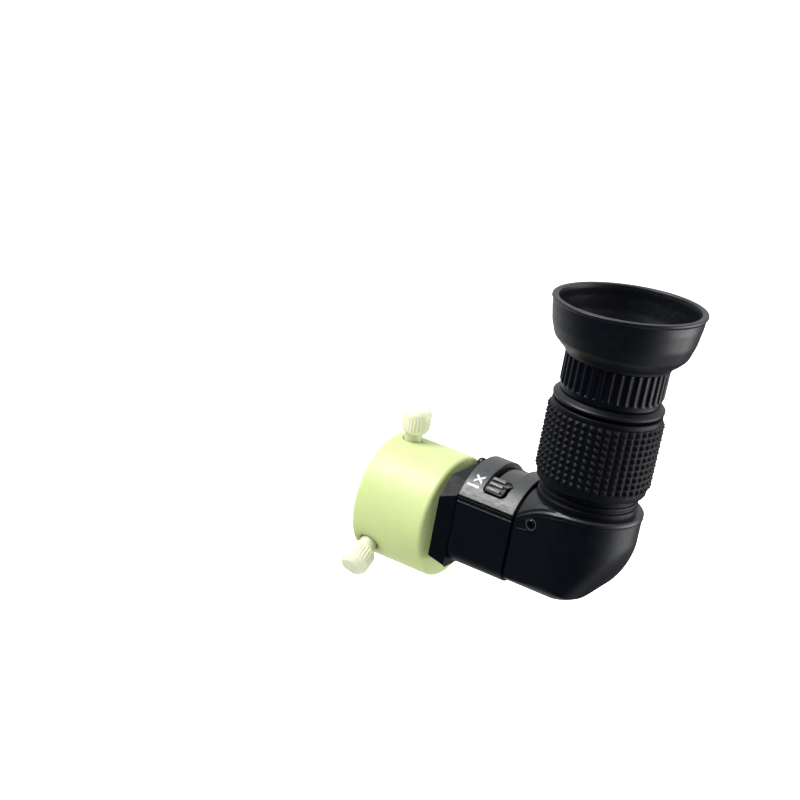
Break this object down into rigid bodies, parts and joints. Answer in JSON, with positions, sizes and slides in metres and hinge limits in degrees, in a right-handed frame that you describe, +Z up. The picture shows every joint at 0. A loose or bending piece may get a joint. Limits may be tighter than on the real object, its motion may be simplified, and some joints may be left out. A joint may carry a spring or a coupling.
{
  "type": "right-angle finder",
  "caption": "Right-angle viewing finder with a magnification lever and focus ring, on a thumb-screw clamp sleeve that fits over a polar scope's eyepiece.",
  "frame": {"origin": "centre of the clamp sleeve's open mouth", "axes": "+X into the sleeve towards the elbow, +Z up the eyepiece tube, +Y to the far side"},
  "size_m": [0.0784, 0.047, 0.0927],
  "materials": {
    "sleeve_resin": "satin, slightly translucent, with faint turning lines",
    "screw_nylon": "natural nylon, satin",
    "black_plastic": "fine satin moulded black",
    "black_gloss": "semi-gloss black",
    "gray_satin": "satin dark gray",
    "black_rubber": "matt moulded rubber",
    "glass": "coated optical glass",
    "steel": "plain steel",
    "brass": "turned brass"
  },
  "bodies": {
    "adapter": {"adapter_sleeve": "sleeve_resin", "mount_plate": "black_plastic"},
    "screw_top": {"thumb_screw_top": "screw_nylon"},
    "screw_near": {"thumb_screw_near": "screw_nylon"},
    "screw_far": {"thumb_screw_far": "screw_nylon"},
    "finder": {"swivel_bush": "black_plastic", "swivel_clip": "steel", "front_window": "glass", "front_housing": "black_plastic", "top_cover": "gray_satin", "objective_cell": "black_plastic", "objective_lens": "glass", "elbow_shell": "black_plastic", "elbow_lid": "black_plastic", "elbow_screw_near": "steel", "elbow_screw_far": "steel", "prism": "glass", "prism_pad": "black_rubber", "prism_bracket": "steel", "base_tube": "black_plastic", "tube_nut": "brass"},
    "magnifier_lever": {"slider_knob": "black_gloss", "cam_ring": "brass"},
    "magnifier_carriage": {"lens_carriage": "black_plastic", "carriage_pin": "steel", "magnifier_lens": "glass", "magnifier_clip": "steel"},
    "focus": {"focus_ring": "black_plastic", "focus_grip": "black_rubber"},
    "eyepiece": {"eyepiece_barrel": "black_plastic", "guide_pin": "steel", "field_lens": "glass", "lens_spacer": "black_plastic", "eye_lens": "glass", "eye_lens_clip": "black_plastic", "ribbed_ring": "black_gloss", "eyecup": "black_rubber"}
  },
  "joints": [
    {"name": "finder_swivel", "type": "hinge", "parent": "adapter", "child": "finder", "pos_m": [0.0282, 0, 0.0035], "axis": [1, 0, 0], "continuous": true},
    {"name": "screw_top_slide", "type": "slide", "parent": "adapter", "child": "screw_top", "axis": [0, 0, -1], "range_m": [-0.0015, 0.0012]},
    {"name": "screw_near_slide", "type": "slide", "parent": "adapter", "child": "screw_near", "axis": [0, 0.809, 0.5878], "range_m": [-0.0015, 0.0012]},
    {"name": "screw_far_slide", "type": "slide", "parent": "adapter", "child": "screw_far", "axis": [0, -0.809, 0.5878], "range_m": [-0.0015, 0.0012]},
    {"name": "magnification_lever", "type": "hinge", "parent": "finder", "child": "magnifier_lever", "pos_m": [0.037, 0, 0.0035], "axis": [-1, 0, 0], "range_deg": [0, 69]},
    {"name": "carriage_slide", "type": "slide", "parent": "finder", "child": "magnifier_carriage", "axis": [1, 0, 0], "range_m": [0, 0.00401]},
    {"name": "focus_turn", "type": "hinge", "parent": "finder", "child": "focus", "pos_m": [0.0586, 0, 0.035], "axis": [0, 0, 1], "range_deg": [0, 270]},
    {"name": "eyepiece_slide", "type": "slide", "parent": "finder", "child": "eyepiece", "axis": [0, 0, 1], "range_m": [0, 0.00451]}
  ],
  "couplings": [
    {"joint": "carriage_slide", "follows": "magnification_lever", "m_per_rad": 0.0033215},
    {"joint": "eyepiece_slide", "follows": "focus_turn", "m_per_rad": 0.00095493}
  ]
}
